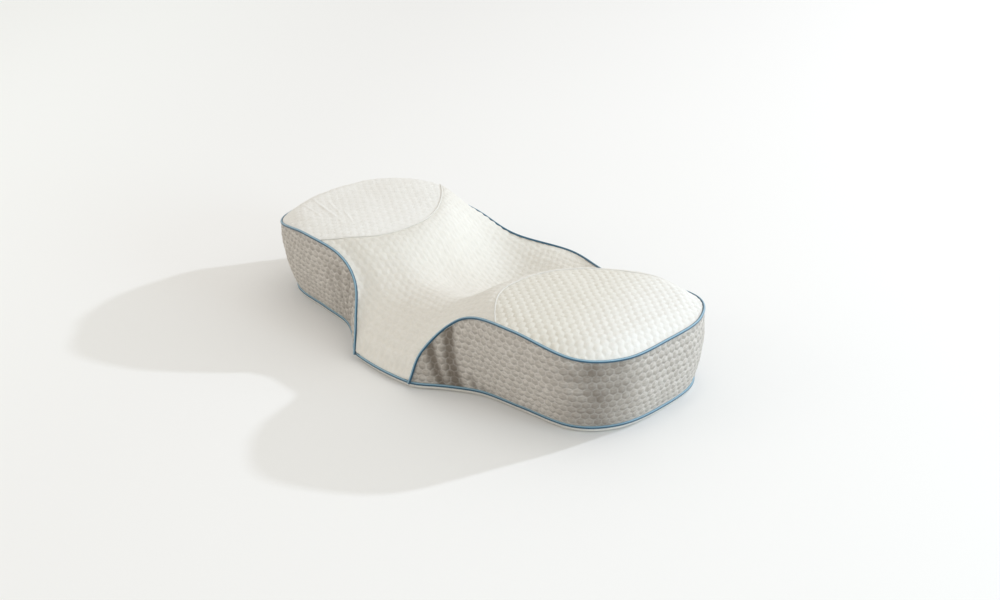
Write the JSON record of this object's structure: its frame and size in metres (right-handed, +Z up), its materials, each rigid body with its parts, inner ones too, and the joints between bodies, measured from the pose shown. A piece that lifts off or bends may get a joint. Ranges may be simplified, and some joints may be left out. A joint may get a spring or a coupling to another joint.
{
  "type": "contour neck pillow",
  "caption": "Butterfly-shaped memory-foam neck pillow with a head hollow between raised side pads, a front neck tongue, a piped side strip and a zipped underside.",
  "frame": {"origin": "middle of the flat underside that rests on the bed, midway between the two wing ends", "axes": "+X along the pillow's length to its right-hand wing, +Y from the neck tongue to the back edge, +Z up"},
  "size_m": [0.604, 0.3314, 0.122],
  "materials": {
    "whiteKnit": "fine matt warp-knit, off-white",
    "padKnit": "quilted bubble knit, white",
    "greyKnit": "grey honeycomb spacer knit",
    "bluePiping": "blue corded piping",
    "bottomKnit": "plain matt knit, off-white",
    "liner": "thin smooth knit, white",
    "foam": "open-cell memory foam, cream",
    "zipTape": "woven zip tape, off-white",
    "zipCoil": "moulded coil, off-white",
    "zipMetal": "satin nickel"
  },
  "bodies": {
    "pillow": {"foam_core": "foam", "liner_top": "liner", "liner_bottom": "liner", "centre_panel": "whiteKnit", "left_wing_panel": "padKnit", "right_wing_panel": "padKnit", "left_pad_seam": "whiteKnit", "right_pad_seam": "whiteKnit", "left_gusset": "greyKnit", "right_gusset": "greyKnit", "bottom_panel_front": "bottomKnit", "bottom_panel_back": "bottomKnit", "upper_piping": "bluePiping", "lower_piping": "bluePiping", "zip_tape_front": "zipTape", "zip_tape_back": "zipTape", "zip_coil_front": "zipCoil", "zip_coil_back": "zipCoil", "zip_stop_closed": "zipMetal", "zip_stop_open": "zipMetal"},
    "slider": {"zip_slider": "zipMetal"},
    "pull_tab": {"zip_pull_tab": "zipMetal"}
  },
  "joints": [
    {"name": "zip_slide", "type": "slide", "parent": "pillow", "child": "slider", "axis": [-1, 0, 0], "range_m": [0, 0.368]},
    {"name": "pull_tab_hinge", "type": "hinge", "parent": "slider", "child": "pull_tab", "pos_m": [0.191, 0.035, 0.0013], "axis": [0, -1, 0], "range_deg": [0, 150]}
  ]
}
